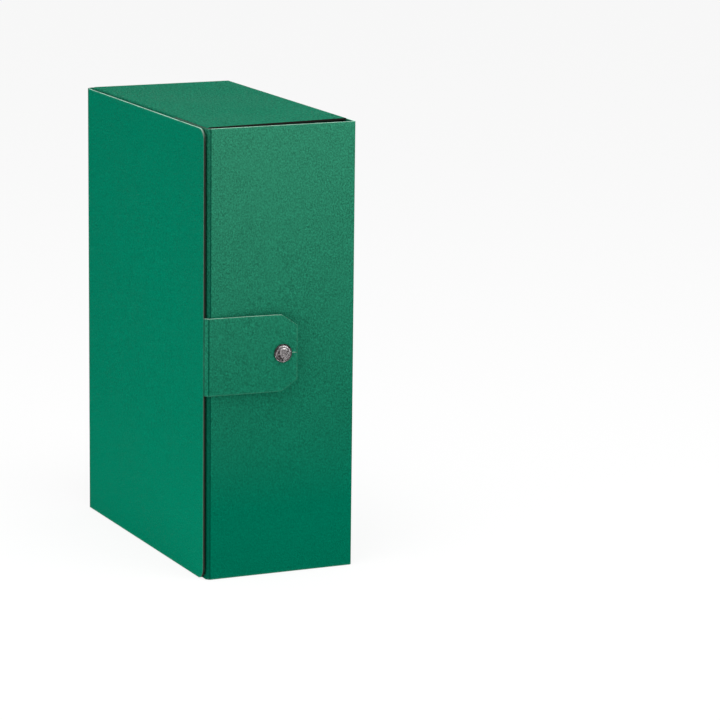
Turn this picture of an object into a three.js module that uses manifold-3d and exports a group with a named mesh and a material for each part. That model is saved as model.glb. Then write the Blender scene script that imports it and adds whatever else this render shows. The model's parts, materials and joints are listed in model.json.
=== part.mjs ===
// Box file for documents, standing closed on its lower end.
//
// One die-cut sheet of creased board makes the whole box. The base panel stands on the +X side.
// The front wall (-Y), the spine (+Y) and the two end walls (top and bottom) are folded up from it.
// Each end wall carries a flap, and the front wall carries a strip that is riveted over the flaps.
// The lid hangs on the spine and covers the -X side, and its closing tab snaps to the front wall.
// Millimetres, Z up. The origin is on the resting face, under the middle of the lower end wall.

import * as THREE from 'three';
import { mergeVertices } from 'three/addons/utils/BufferGeometryUtils.js';
import Module from 'manifold-3d';

const wasm = await Module();
wasm.setup();

// The box, over its outer faces.
const HEIGHT = 350;
const DEPTH = 250;
const THICKNESS = 125;
const BOARD = 1.5;

// Creases. The plain ones are single bends, the bevelled ones are two creases with a facet between.
const FOLD_INNER_RADIUS = 0.5;
const CREASE_INNER_RADIUS = 0.3;
const FRONT_BEVEL = 2.4;
const SPINE_BEVEL = 3.2;
const TAB_BEVEL = 3.2;
const HINGE_SLIT = 0.3;

// Play between the layers of board.
const LAYER_GAP = 0.3;
const LID_GAP = 1.4;
const EDGE_DROP = 0.5;
const LID_DROP = 0.8;

// Lid and closing tab.
const LID_CORNER = 9;
const TAB_WIDTH = 60;
const TAB_REACH = 74.8;
const TAB_CHAMFER_ALONG = 12.5;
const TAB_CHAMFER_ACROSS = 9;
const TAB_CORNER = 4;
const TAB_GAP = 0.5;

// End walls, flaps and strip.
const SETBACK_AT_LID = 6;
const SETBACK_AT_BASE = 16;
const SPINE_PLAY = 0.5;
const FLAP_LENGTH = 75;
const FLAP_TAPER = 3;
const FLAP_CORNER = 8;
const STRIP_WIDTH = 70;
const STRIP_CORNER = 3;

// Rivets that hold the strip on the flaps.
const RIVET_FROM_END = 42;
const RIVET_FROM_FRONT = 54;
const RIVET_HEAD_RADIUS = 4.5;
const RIVET_HEAD_HEIGHT = 0.7;
const RIVET_BARREL_RADIUS = 2;
const RIVET_TAIL_RADIUS = 3.6;
const RIVET_TAIL_HEIGHT = 0.6;
const RIVET_BORE_RADIUS = 1.2;

// Press stud: cap, socket and spring on the tab, stud and post on the front wall.
const FIT = 0.3;
const SNAP_FROM_TIP = 12;
const CAP_RADIUS = 7.25;
const CAP_RIM_HEIGHT = 0.9;
const CAP_DOME_HEIGHT = 0.8;
const CAP_BARREL_RADIUS = 1.8;
const CAP_BORE_RADIUS = 1.1;
const CAP_FLARE_RADIUS = 2.6;
const FLARE_HEIGHT = 0.3;
const SOCKET_RADIUS = 6.2;
const SOCKET_PLATE = 0.4;
const SOCKET_CAVITY_HEIGHT = 1.4;
const SOCKET_LIP = 0.35;
const SOCKET_CAVITY_RADIUS = 4.5;
const SOCKET_MOUTH_RADIUS = 3.75;
const SPRING_WIRE_RADIUS = 0.25;
const SPRING_OPENING = Math.PI / 4;
const SNAP_PLAY = 0.55;
const STUD_FLANGE_RADIUS = 5.5;
const STUD_FLANGE_HEIGHT = 0.5;
const STUD_HEAD_RADIUS = 3.2;
const STUD_NECK_RADIUS = 2.9;
const STUD_HEAD_HEIGHT = 1.35;
const STUD_SHELL = 0.55;
const POST_FLANGE_RADIUS = 5.5;
const POST_FLANGE_HEIGHT = 0.6;
const POST_BARREL_RADIUS = 1.5;
const POST_BORE_RADIUS = 0.9;

// Fineness of round forms, and how far a cutter stands proud of what it cuts.
const ARC_STEPS = 6;
const ROUND_STEPS = 40;
const WIRE_SIDES = 8;
const OVERCUT = 1;
const WELD = 1e-4;

// Bends, measured on the outer face of the board.
const foldRadius = BOARD + FOLD_INNER_RADIUS;
const creaseRadius = BOARD + CREASE_INNER_RADIUS;

// Planes that follow from the sizes. X runs from the lid to the base panel.
const lidOuterX = -THICKNESS / 2;
const lidInnerX = lidOuterX + BOARD;
const stripOuterX = lidInnerX + LID_GAP;
const stripInnerX = stripOuterX + BOARD;
const flapOuterX = stripInnerX + LAYER_GAP;
const flapInnerX = flapOuterX + BOARD;
const baseOuterX = THICKNESS / 2;
const baseInnerX = baseOuterX - BOARD;
const frontOuterY = -DEPTH / 2;
const spineOuterY = DEPTH / 2;
const wallBackY = spineOuterY - BOARD - SPINE_PLAY;
const stripEdgeY = frontOuterY + STRIP_WIDTH;
const flapFrontY = frontOuterY + SETBACK_AT_LID;

// The lid turns about the outer crease line of the spine's bevel, the tab about its own.
const bevelTurn = Math.PI / 4;
const mitre = bevelTurn / 2;
const lidHingeY = spineOuterY - SPINE_BEVEL;
const tabOuterY = frontOuterY - TAB_GAP - BOARD;
const tabHingeY = tabOuterY + TAB_BEVEL;
const tabCreaseX = lidOuterX + TAB_BEVEL;
const tabTipX = lidOuterX + TAB_REACH;
const tabMiddleZ = HEIGHT / 2;

// The stacked parts of the press stud hold the tab off the front wall and so set its slope.
const snapX = tabTipX - SNAP_FROM_TIP;
const socketHeight = SOCKET_PLATE + SOCKET_CAVITY_HEIGHT + SOCKET_LIP;
const standOff = FIT + STUD_FLANGE_HEIGHT + SNAP_PLAY + socketHeight + FIT;
const tabSlope = Math.atan((standOff - TAB_GAP) / (snapX - tabCreaseX));

const finishes = {
  board: new THREE.MeshStandardMaterial({ color: 0x117553, roughness: 0.5, metalness: 0 }),
  nickel: new THREE.MeshStandardMaterial({ color: 0xb9b6b3, roughness: 0.3, metalness: 1 }),
};

// A closed geometry as a solid that can be joined and cut.
function toSolid(geometry) {
  const bare = geometry.clone();
  bare.deleteAttribute('normal');
  bare.deleteAttribute('uv');
  const welded = mergeVertices(bare, WELD);
  return new wasm.Manifold(new wasm.Mesh({
    numProp: 3,
    vertProperties: new Float32Array(welded.attributes.position.array),
    triVerts: new Uint32Array(welded.index.array),
  }));
}

function toGeometry(solid) {
  const mesh = solid.getMesh();
  const geometry = new THREE.BufferGeometry();
  geometry.setAttribute('position', new THREE.BufferAttribute(new Float32Array(mesh.vertProperties), 3));
  geometry.setIndex(new THREE.BufferAttribute(new Uint32Array(mesh.triVerts), 1));
  geometry.computeVertexNormals();
  return geometry;
}

function point(x, y) {
  return new THREE.Vector2(x, y);
}

// Rounds the middle one of three corners, where the line turns left. The inset moves it inwards.
function cornerArc(before, corner, after, inset) {
  const at = point(corner[0], corner[1]);
  const arriving = at.clone().sub(point(before[0], before[1])).normalize();
  const leaving = point(after[0], after[1]).sub(at).normalize();
  const radius = corner[2];
  if (radius === 0) {
    return [at];
  }
  const turn = Math.acos(THREE.MathUtils.clamp(arriving.dot(leaving), -1, 1));
  const centre = at.addScaledVector(arriving, -radius * Math.tan(turn / 2));
  centre.addScaledVector(leftOf(arriving), radius);
  const startAngle = Math.atan2(-arriving.x, arriving.y);
  const arc = [];
  for (let step = 0; step <= ARC_STEPS; step += 1) {
    const angle = startAngle + turn * step / ARC_STEPS;
    arc.push(centre.clone().addScaledVector(point(Math.cos(angle), Math.sin(angle)), radius - inset));
  }
  return arc;
}

function leftOf(direction) {
  return point(-direction.y, direction.x);
}

// The section of a folded board through corners [x, y, outer radius] on its outer face.
// The board lies to their left. A mitred end is cut back inside, so that it can hinge outside.
function boardSection(corners, mitredStart, mitredEnd) {
  const outer = [];
  const inner = [];
  const last = corners.length - 1;
  const slit = HINGE_SLIT / 2 / Math.cos(mitre);
  const cutBack = BOARD * Math.tan(mitre);
  const addEnd = (end, along, inward, mitred) => {
    const edge = point(end[0], end[1]).addScaledVector(along, mitred ? slit : 0);
    outer.push(edge);
    inner.push(edge.clone().addScaledVector(inward, BOARD).addScaledVector(along, mitred ? cutBack : 0));
  };
  const direction = (from, to) => point(to[0] - from[0], to[1] - from[1]).normalize();
  const first = direction(corners[0], corners[1]);
  addEnd(corners[0], first, leftOf(first), mitredStart);
  for (let index = 1; index < last; index += 1) {
    const neighbours = [corners[index - 1], corners[index], corners[index + 1]];
    outer.push(...cornerArc(...neighbours, 0));
    inner.push(...cornerArc(...neighbours, BOARD));
  }
  const final = direction(corners[last - 1], corners[last]);
  addEnd(corners[last], final.clone().negate(), leftOf(final), mitredEnd);
  return new THREE.Shape([...outer, ...inner.reverse()]);
}

// A flat outline whose corners are given anticlockwise as [x, y, radius].
function roundedOutline(corners) {
  const outline = [];
  corners.forEach((corner, index) => {
    const before = corners[(index + corners.length - 1) % corners.length];
    const after = corners[(index + 1) % corners.length];
    outline.push(...cornerArc(before, corner, after, 0));
  });
  return new THREE.Shape(outline);
}

function extrude(shape, depth) {
  return new THREE.ExtrudeGeometry(shape, { depth, bevelEnabled: false, steps: 1 });
}

// Prisms along each axis. The shape is drawn in XY, in XZ and in YZ.
function prismAlongZ(shape, fromZ, toZ) {
  return toSolid(extrude(shape, toZ - fromZ).translate(0, 0, fromZ));
}

function prismAlongY(shape, fromY, toY) {
  return toSolid(extrude(shape, toY - fromY).rotateX(Math.PI / 2).translate(0, toY, 0));
}

function prismAlongX(shape, fromX, toX) {
  const upright = extrude(shape, toX - fromX).rotateX(Math.PI / 2).rotateZ(Math.PI / 2);
  return toSolid(upright.translate(fromX, 0, 0));
}

function block(fromX, toX, fromY, toY, fromZ, toZ) {
  const box = new THREE.BoxGeometry(toX - fromX, toY - fromY, toZ - fromZ);
  return toSolid(box.translate((fromX + toX) / 2, (fromY + toY) / 2, (fromZ + toZ) / 2));
}

function turned(profile) {
  const closed = profile[0][0] === 0 ? profile : [...profile, profile[0]];
  return new THREE.LatheGeometry(closed.map(([radius, height]) => point(radius, height)), ROUND_STEPS);
}

// A round cutter through a board. Its axis is local Y, turned about Z towards the outside.
function drill(radius, centre, turnAboutZ) {
  const length = 2 * (2 * BOARD + LAYER_GAP + OVERCUT);
  const bit = new THREE.CylinderGeometry(radius, radius, length, ROUND_STEPS);
  return toSolid(bit.rotateZ(turnAboutZ).translate(centre.x, centre.y, centre.z));
}

const towardsLid = Math.PI / 2;
const towardsFront = Math.PI;
const tabOutward = Math.PI - tabSlope;

function rivetCentres() {
  const y = frontOuterY + RIVET_FROM_FRONT;
  return {
    upper_strip_rivet: new THREE.Vector3(stripOuterX, y, HEIGHT - RIVET_FROM_END),
    lower_strip_rivet: new THREE.Vector3(stripOuterX, y, RIVET_FROM_END),
  };
}

// Base panel with the front wall and its strip on one side and the spine on the other.
function wrapSolid() {
  const bevelEndY = frontOuterY + FRONT_BEVEL;
  const section = boardSection([
    [stripOuterX, stripEdgeY, 0],
    [stripOuterX, bevelEndY, creaseRadius],
    [stripOuterX + FRONT_BEVEL, frontOuterY, creaseRadius],
    [baseOuterX, frontOuterY, foldRadius],
    [baseOuterX, spineOuterY, foldRadius],
    [lidOuterX + SPINE_BEVEL, spineOuterY, creaseRadius],
    [lidOuterX, lidHingeY, 0],
  ], false, true);
  const lowZ = EDGE_DROP;
  const highZ = HEIGHT - EDGE_DROP;
  const stripOutline = roundedOutline([
    [bevelEndY, lowZ, 0],
    [stripEdgeY, lowZ, STRIP_CORNER],
    [stripEdgeY, highZ, STRIP_CORNER],
    [bevelEndY, highZ, 0],
  ]);
  const zoneX = [stripOuterX - OVERCUT, stripInnerX + OVERCUT];
  const stripZone = block(...zoneX, stripEdgeY - STRIP_CORNER, stripEdgeY + OVERCUT, 0, HEIGHT);
  const corners = stripZone.subtract(prismAlongX(stripOutline, zoneX[0] - OVERCUT, zoneX[1] + OVERCUT));
  return prismAlongZ(section, lowZ, highZ).subtract(corners);
}

// One end wall with its flap and the fold that joins it to the base panel.
function endWallSolid(wallZ, inward) {
  const freeZ = wallZ + inward * FLAP_LENGTH;
  const foldZ = wallZ + inward * foldRadius;
  const corners = [
    [baseOuterX, foldZ + inward * foldRadius, 0],
    [baseOuterX, wallZ, foldRadius],
    [flapOuterX, wallZ, foldRadius],
    [flapOuterX, freeZ, 0],
  ];
  const path = inward < 0 ? corners : corners.reverse();
  const blank = prismAlongY(boardSection(path, false, false), frontOuterY, wallBackY);
  const setback = new THREE.Shape([
    point(flapOuterX - OVERCUT, frontOuterY - OVERCUT),
    point(baseOuterX + OVERCUT, frontOuterY - OVERCUT),
    point(baseOuterX + OVERCUT, frontOuterY + SETBACK_AT_BASE),
    point(baseInnerX, frontOuterY + SETBACK_AT_BASE),
    point(flapInnerX, flapFrontY),
    point(flapOuterX - OVERCUT, flapFrontY),
  ]);
  const flapEdge = [
    [flapFrontY, foldZ, 0],
    [flapFrontY + FLAP_TAPER, freeZ, FLAP_CORNER],
    [wallBackY - FLAP_TAPER, freeZ, FLAP_CORNER],
    [wallBackY, foldZ, 0],
  ];
  const flapOutline = roundedOutline(inward < 0 ? flapEdge : flapEdge.reverse());
  const flapX = [flapOuterX - OVERCUT, flapInnerX + OVERCUT];
  const flapZ = inward < 0 ? [freeZ - OVERCUT, foldZ] : [foldZ, freeZ + OVERCUT];
  const flapZone = block(...flapX, frontOuterY - OVERCUT, wallBackY + OVERCUT, ...flapZ);
  const trimmings = flapZone.subtract(prismAlongX(flapOutline, flapX[0] - OVERCUT, flapX[1] + OVERCUT));
  const lowZ = Math.min(freeZ, wallZ) - OVERCUT;
  const highZ = Math.max(freeZ, wallZ) + OVERCUT;
  return blank.subtract(prismAlongZ(setback, lowZ, highZ)).subtract(trimmings);
}

// Where an end wall folds off the base panel, the panel itself ends at the fold.
function foldRelief(wallZ, inward) {
  const foldEnds = [wallZ + inward * foldRadius, wallZ - inward * OVERCUT];
  const panelX = [baseInnerX - OVERCUT, baseOuterX + OVERCUT];
  const foldY = [frontOuterY + SETBACK_AT_BASE, wallBackY];
  return block(...panelX, ...foldY, Math.min(...foldEnds), Math.max(...foldEnds));
}

function boxBody() {
  let body = wrapSolid().subtract(foldRelief(HEIGHT, -1)).subtract(foldRelief(0, 1));
  body = body.add(endWallSolid(HEIGHT, -1)).add(endWallSolid(0, 1));
  for (const centre of Object.values(rivetCentres())) {
    body = body.subtract(drill(RIVET_BARREL_RADIUS + FIT, centre, towardsLid));
  }
  const studCentre = new THREE.Vector3(snapX, frontOuterY, tabMiddleZ);
  return body.subtract(drill(POST_BARREL_RADIUS + FIT, studCentre, towardsFront));
}

function lid() {
  const section = boardSection([[lidOuterX, lidHingeY, 0], [lidOuterX, tabHingeY, 0]], true, false);
  const panel = prismAlongZ(section, LID_DROP, HEIGHT - LID_DROP);
  const outline = roundedOutline([
    [tabHingeY, LID_DROP, LID_CORNER],
    [lidHingeY + OVERCUT, LID_DROP, 0],
    [lidHingeY + OVERCUT, HEIGHT - LID_DROP, 0],
    [tabHingeY, HEIGHT - LID_DROP, LID_CORNER],
  ]);
  const rounded = panel.intersect(prismAlongX(outline, lidOuterX - OVERCUT, lidInnerX + OVERCUT));
  const creaseY = tabHingeY + HINGE_SLIT / 2 / Math.cos(mitre);
  const creaseWedge = new THREE.Shape([
    point(lidOuterX - OVERCUT, tabHingeY - OVERCUT),
    point(lidInnerX + OVERCUT, tabHingeY - OVERCUT),
    point(lidInnerX + OVERCUT, creaseY + (BOARD + OVERCUT) * Math.tan(mitre)),
    point(lidOuterX - OVERCUT, creaseY - OVERCUT * Math.tan(mitre)),
  ]);
  const halfTab = TAB_WIDTH / 2;
  return rounded.subtract(prismAlongZ(creaseWedge, tabMiddleZ - halfTab, tabMiddleZ + halfTab));
}

function closingTab() {
  const tipY = tabOuterY - (tabTipX - tabCreaseX) * Math.tan(tabSlope);
  const section = boardSection([
    [lidOuterX, tabHingeY, 0],
    [tabCreaseX, tabOuterY, creaseRadius],
    [tabTipX, tipY, 0],
  ], true, false);
  const lowZ = tabMiddleZ - TAB_WIDTH / 2;
  const highZ = tabMiddleZ + TAB_WIDTH / 2;
  const strip = prismAlongZ(section, lowZ, highZ);
  const outline = roundedOutline([
    [lidOuterX - OVERCUT, lowZ, 0],
    [tabTipX - TAB_CHAMFER_ALONG, lowZ, TAB_CORNER],
    [tabTipX, lowZ + TAB_CHAMFER_ACROSS, TAB_CORNER],
    [tabTipX, highZ - TAB_CHAMFER_ACROSS, TAB_CORNER],
    [tabTipX - TAB_CHAMFER_ALONG, highZ, TAB_CORNER],
    [lidOuterX - OVERCUT, highZ, 0],
  ]);
  const cut = strip.intersect(prismAlongY(outline, tipY - OVERCUT, tabHingeY + BOARD + OVERCUT));
  return cut.subtract(drill(CAP_BARREL_RADIUS + FIT, tabSnapPoint(), tabOutward));
}

// The middle of the press stud on the tab's outer face.
function tabSnapPoint() {
  const outerY = tabOuterY - (snapX - tabCreaseX) * Math.tan(tabSlope);
  return new THREE.Vector3(snapX, outerY, tabMiddleZ);
}

// Heights run outwards from the tab's outer face.
const socketTop = -BOARD - FIT;
const socketPlateBottom = socketTop - SOCKET_PLATE;
const socketCavityBottom = socketPlateBottom - SOCKET_CAVITY_HEIGHT;
const springRadius = SOCKET_CAVITY_RADIUS - FIT - SPRING_WIRE_RADIUS;

function snapCap() {
  const rimRound = CAP_RIM_HEIGHT / 2;
  const shoulder = CAP_RADIUS - rimRound;
  const top = FIT + CAP_RIM_HEIGHT;
  const profile = [];
  for (let step = 0; step <= ARC_STEPS; step += 1) {
    const share = step / ARC_STEPS;
    profile.push([shoulder * share, top + CAP_DOME_HEIGHT * (1 - share * share)]);
  }
  for (let step = 1; step <= ARC_STEPS; step += 1) {
    const angle = Math.PI / 2 - Math.PI * step / ARC_STEPS;
    profile.push([shoulder + rimRound * Math.cos(angle), FIT + rimRound + rimRound * Math.sin(angle)]);
  }
  const flareTop = socketPlateBottom - FIT;
  profile.push(
    [CAP_BARREL_RADIUS, FIT],
    [CAP_BARREL_RADIUS, flareTop],
    [CAP_FLARE_RADIUS, flareTop],
    [CAP_FLARE_RADIUS, flareTop - FLARE_HEIGHT],
    [CAP_BORE_RADIUS, flareTop - FLARE_HEIGHT],
    [CAP_BORE_RADIUS, FIT],
    [0, FIT],
  );
  return turned(profile.reverse());
}

function snapSocket() {
  return turned([
    [CAP_BARREL_RADIUS + FIT, socketPlateBottom],
    [SOCKET_CAVITY_RADIUS, socketPlateBottom],
    [SOCKET_CAVITY_RADIUS, socketCavityBottom],
    [SOCKET_MOUTH_RADIUS, socketCavityBottom],
    [SOCKET_MOUTH_RADIUS, socketCavityBottom - SOCKET_LIP],
    [SOCKET_RADIUS, socketCavityBottom - SOCKET_LIP],
    [SOCKET_RADIUS, socketTop],
    [CAP_BARREL_RADIUS + FIT, socketTop],
  ]);
}

// An open ring of wire that lies on the socket's lip, round the head of the stud.
function snapSpring() {
  const wire = new THREE.Shape().absarc(0, 0, SPRING_WIRE_RADIUS, 0, Math.PI * 2);
  const height = socketCavityBottom + FIT + SPRING_WIRE_RADIUS;
  const route = [];
  for (let step = 0; step <= ROUND_STEPS; step += 1) {
    const angle = SPRING_OPENING / 2 + (2 * Math.PI - SPRING_OPENING) * step / ROUND_STEPS;
    route.push(new THREE.Vector3(springRadius * Math.cos(angle), height, springRadius * Math.sin(angle)));
  }
  return new THREE.ExtrudeGeometry(wire, {
    steps: ROUND_STEPS,
    curveSegments: WIRE_SIDES / 2,
    bevelEnabled: false,
    extrudePath: new THREE.CatmullRomCurve3(route),
  });
}

// Heights run outwards from the front wall's outer face.
const studFlangeTop = FIT + STUD_FLANGE_HEIGHT;
const studTop = studFlangeTop + STUD_HEAD_HEIGHT;
const studHollowRadius = STUD_HEAD_RADIUS - STUD_SHELL;

function snapStud() {
  const headRound = STUD_HEAD_RADIUS - STUD_NECK_RADIUS;
  return turned([
    [POST_BARREL_RADIUS + FIT, FIT],
    [STUD_FLANGE_RADIUS, FIT],
    [STUD_FLANGE_RADIUS, studFlangeTop],
    [STUD_NECK_RADIUS, studFlangeTop],
    [STUD_NECK_RADIUS, studFlangeTop + STUD_HEAD_HEIGHT / 3],
    [STUD_HEAD_RADIUS, studFlangeTop + STUD_HEAD_HEIGHT / 2],
    [STUD_HEAD_RADIUS, studTop - headRound],
    [STUD_NECK_RADIUS, studTop],
    [studHollowRadius, studTop],
    [studHollowRadius, studFlangeTop],
    [POST_BARREL_RADIUS + FIT, studFlangeTop],
  ]);
}

function snapPost() {
  const innerFace = -BOARD - FIT;
  const flareBottom = studFlangeTop + FIT;
  const flareRadius = studHollowRadius - FIT;
  return turned([
    [POST_BORE_RADIUS, innerFace - POST_FLANGE_HEIGHT],
    [POST_FLANGE_RADIUS, innerFace - POST_FLANGE_HEIGHT],
    [POST_FLANGE_RADIUS, innerFace],
    [POST_BARREL_RADIUS, innerFace],
    [POST_BARREL_RADIUS, flareBottom],
    [flareRadius, flareBottom],
    [flareRadius, flareBottom + FLARE_HEIGHT],
    [POST_BORE_RADIUS, flareBottom + FLARE_HEIGHT],
  ]);
}

// Heights run outwards from the strip's outer face.
function stripRivet() {
  const flapInnerFace = -2 * BOARD - LAYER_GAP - FIT;
  const tailEnd = flapInnerFace - RIVET_TAIL_HEIGHT;
  const top = FIT + RIVET_HEAD_HEIGHT;
  const crownRadius = RIVET_HEAD_RADIUS / 2;
  return turned([
    [0, FIT],
    [RIVET_BORE_RADIUS, FIT - LAYER_GAP],
    [RIVET_BORE_RADIUS, tailEnd],
    [RIVET_TAIL_RADIUS, tailEnd],
    [RIVET_TAIL_RADIUS, flapInnerFace],
    [RIVET_BARREL_RADIUS, flapInnerFace],
    [RIVET_BARREL_RADIUS, FIT],
    [RIVET_HEAD_RADIUS, FIT],
    [RIVET_HEAD_RADIUS, FIT + RIVET_HEAD_HEIGHT / 2],
    [crownRadius, top - RIVET_HEAD_HEIGHT / 4],
    [crownRadius / 2, top],
    [0, top],
  ]);
}

function place(name, geometry, material, position, turnAboutZ) {
  const mesh = new THREE.Mesh(geometry, material);
  mesh.name = name;
  if (position) {
    mesh.position.copy(position);
  }
  if (turnAboutZ) {
    mesh.rotation.z = turnAboutZ;
  }
  return mesh;
}

const boxFile = new THREE.Group();
boxFile.add(place('box_body', toGeometry(boxBody()), finishes.board));

const lidAndTab = new THREE.Group();
lidAndTab.add(place('lid', toGeometry(lid()), finishes.board));
lidAndTab.add(place('closing_tab', toGeometry(closingTab()), finishes.board));

const tabSnap = new THREE.Group();
tabSnap.position.copy(tabSnapPoint());
tabSnap.rotation.z = tabOutward;
tabSnap.add(place('snap_cap', snapCap(), finishes.nickel));
tabSnap.add(place('snap_socket', snapSocket(), finishes.nickel));
tabSnap.add(place('snap_spring', snapSpring(), finishes.nickel));
lidAndTab.add(tabSnap);
boxFile.add(lidAndTab);

const wallSnap = new THREE.Group();
wallSnap.position.set(snapX, frontOuterY, tabMiddleZ);
wallSnap.rotation.z = towardsFront;
wallSnap.add(place('snap_stud', snapStud(), finishes.nickel));
wallSnap.add(place('snap_post', snapPost(), finishes.nickel));
boxFile.add(wallSnap);

for (const [name, centre] of Object.entries(rivetCentres())) {
  boxFile.add(place(name, stripRivet(), finishes.nickel, centre, towardsLid));
}

export default boxFile;
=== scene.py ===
"""Finishes the box file: creased board with a leather grain, cut edges, a press stud and rivets."""

import json
import math
from collections import namedtuple

import bmesh
import bpy
from mathutils import Matrix, Vector, noise


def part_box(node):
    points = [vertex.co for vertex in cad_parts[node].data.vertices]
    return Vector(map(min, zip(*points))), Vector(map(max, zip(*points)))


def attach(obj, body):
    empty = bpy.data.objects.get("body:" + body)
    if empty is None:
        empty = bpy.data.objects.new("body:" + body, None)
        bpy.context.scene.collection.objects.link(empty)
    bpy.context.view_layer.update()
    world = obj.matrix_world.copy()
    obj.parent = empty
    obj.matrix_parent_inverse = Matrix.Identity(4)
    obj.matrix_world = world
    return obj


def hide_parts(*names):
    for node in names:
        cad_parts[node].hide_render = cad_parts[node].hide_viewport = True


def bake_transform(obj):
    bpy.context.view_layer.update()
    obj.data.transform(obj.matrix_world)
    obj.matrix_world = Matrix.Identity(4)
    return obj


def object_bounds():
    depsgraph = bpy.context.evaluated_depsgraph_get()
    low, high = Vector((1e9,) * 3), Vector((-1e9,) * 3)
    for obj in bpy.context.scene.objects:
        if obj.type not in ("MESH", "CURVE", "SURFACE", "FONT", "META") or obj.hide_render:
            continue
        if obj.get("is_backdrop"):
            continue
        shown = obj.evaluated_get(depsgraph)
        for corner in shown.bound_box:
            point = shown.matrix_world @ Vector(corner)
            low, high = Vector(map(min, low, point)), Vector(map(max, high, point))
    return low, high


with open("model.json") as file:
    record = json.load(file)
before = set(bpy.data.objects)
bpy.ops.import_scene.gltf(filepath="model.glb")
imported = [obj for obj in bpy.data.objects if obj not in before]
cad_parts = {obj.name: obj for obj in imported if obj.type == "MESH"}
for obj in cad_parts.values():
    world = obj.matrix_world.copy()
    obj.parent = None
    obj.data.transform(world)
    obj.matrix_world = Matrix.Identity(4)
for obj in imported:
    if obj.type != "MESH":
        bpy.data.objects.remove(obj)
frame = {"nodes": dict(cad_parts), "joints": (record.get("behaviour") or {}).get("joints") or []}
cad_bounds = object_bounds()

MM = 0.001

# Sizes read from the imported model.
lid_low, lid_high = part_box("lid")
body_low, body_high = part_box("box_body")
tab_low, tab_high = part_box("closing_tab")
stud_low, stud_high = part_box("snap_stud")
joint_places = {joint["name"]: Vector(joint["pos_m"]) for joint in frame["joints"]}
lid_hinge = joint_places["lid_fold"]
tab_hinge = joint_places["tab_fold"]
BOARD = lid_high.x - lid_low.x
LID_X = lid_hinge.x
BASE_X = body_high.x
FRONT_Y = body_low.y
SPINE_Y = body_high.y
HEIGHT = body_high.z
LID_DROP = lid_low.z
TAB_LOW = tab_low.z
TAB_HIGH = tab_high.z
TAB_TIP_X = tab_high.x
SPINE_BEVEL = SPINE_Y - lid_hinge.y

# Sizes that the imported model's boxes don't give, as in the part's source.
FRONT_BEVEL = 2.4 * MM
TAB_BEVEL = 3.2 * MM
TAB_GAP = 0.5 * MM
LID_GAP = 1.4 * MM
LAYER_GAP = 0.3 * MM
EDGE_DROP = 0.5 * MM
HINGE_SLIT = 0.3 * MM
FOLD_RADIUS = BOARD + 0.5 * MM
CREASE_RADIUS = BOARD + 0.3 * MM
LID_CORNER = 9 * MM
TAB_CHAMFER_ALONG = 12.5 * MM
TAB_CHAMFER_ACROSS = 9 * MM
TAB_CORNER = 4 * MM
SETBACK_AT_LID = 6 * MM
SETBACK_AT_BASE = 16 * MM
SPINE_PLAY = 0.5 * MM
FLAP_LENGTH = 75 * MM
FLAP_TAPER = 3 * MM
FLAP_CORNER = 8 * MM
STRIP_WIDTH = 70 * MM
STRIP_CORNER = 3 * MM
SNAP_FROM_TIP = 12 * MM

# Extra columns that the rounded corners need, in mm from the lid's front edge and the tab's tip.
LID_FRONT_STOPS = (0.7, 1.8, 2.6, 4.4, 6, 9)
TAB_TIP_STOPS = (0.5, 1.5, 6, 10, 11.5, 12.5)
CHAMFER_SOFTNESS = 0.12

# Planes and slopes that follow from them.
STRIP_X = LID_X + BOARD + LID_GAP
FLAP_X = STRIP_X + BOARD + LAYER_GAP
WALL_BACK_Y = SPINE_Y - BOARD - SPINE_PLAY
TAB_CREASE_X = LID_X + TAB_BEVEL
TAB_OUTER_Y = FRONT_Y - TAB_GAP - BOARD
MITRE = math.pi / 8

# How finely the board is divided, and how wide its worn borders are.
CELL = 5 * MM
NARROWEST_CELL = 0.05 * MM
BORDER_STEPS = (0.4 * MM, 1.2 * MM, 3 * MM)
BEND_STEPS = 8
MITRE_REACH = 3 * MM
CUT_REACH = 30 * MM
WEAR_WIDTH = 0.4 * MM
EDGE_ROUND = 0.12 * MM
METAL_ROUND = 0.08 * MM
ROUND_SEGMENTS = 2
TURNED_SEGMENTS = 80
SHARP_ANGLE = math.radians(50)
# Painted shade in the creases: its width at the hinges, its depth along crease folds and its depth on
# the front bevel facet.
CREASE_WIDTH = 0.6 * MM
CREASE_SHADE = 1.0
FACET_SHADE = 0.5

# Slight hollows and unevenness of the panels.
FRONT_HOLLOW = 0.35 * MM
BASE_HOLLOW = 0.5 * MM
SPINE_HOLLOW = 0.4 * MM
END_HOLLOW = 0.4 * MM
LID_HOLLOW = 0.5 * MM
WRAP_RIPPLE = 0.12 * MM
LID_RIPPLE = 0.15 * MM
RIPPLES_PER_METRE = 9
RIPPLES_PER_PANEL = 3.1

# How far the cut edges are darkened with painted shade, from 0 for none to 1 for black.
STRIP_EDGE_SHADE = 0.6
END_EDGE_SHADE = 0.65
LID_EDGE_SHADE = 0.5
TAB_EDGE_SHADE = 0.6

# One place along a section: its points on both faces, how far it is shaded as part of a crease,
# the straight run that it belongs to, and its share of that run's length.
Column = namedtuple("Column", "outer inner ridge run share")


# Camera, fitted to the corners of the box in the photograph.
CAMERA_AZIMUTH = math.radians(-24.94)
CAMERA_ELEVATION = math.radians(11.91)
CAMERA_ROLL = math.radians(0.645)
CAMERA_DISTANCE = 2.8706
CAMERA_FOCAL_PX = 3610.9
CAMERA_SHIFT_RIGHT = 0.1139
CAMERA_SHIFT_UP = -0.0303
IMAGE_PX = 720
SENSOR_MM = 36


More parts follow.
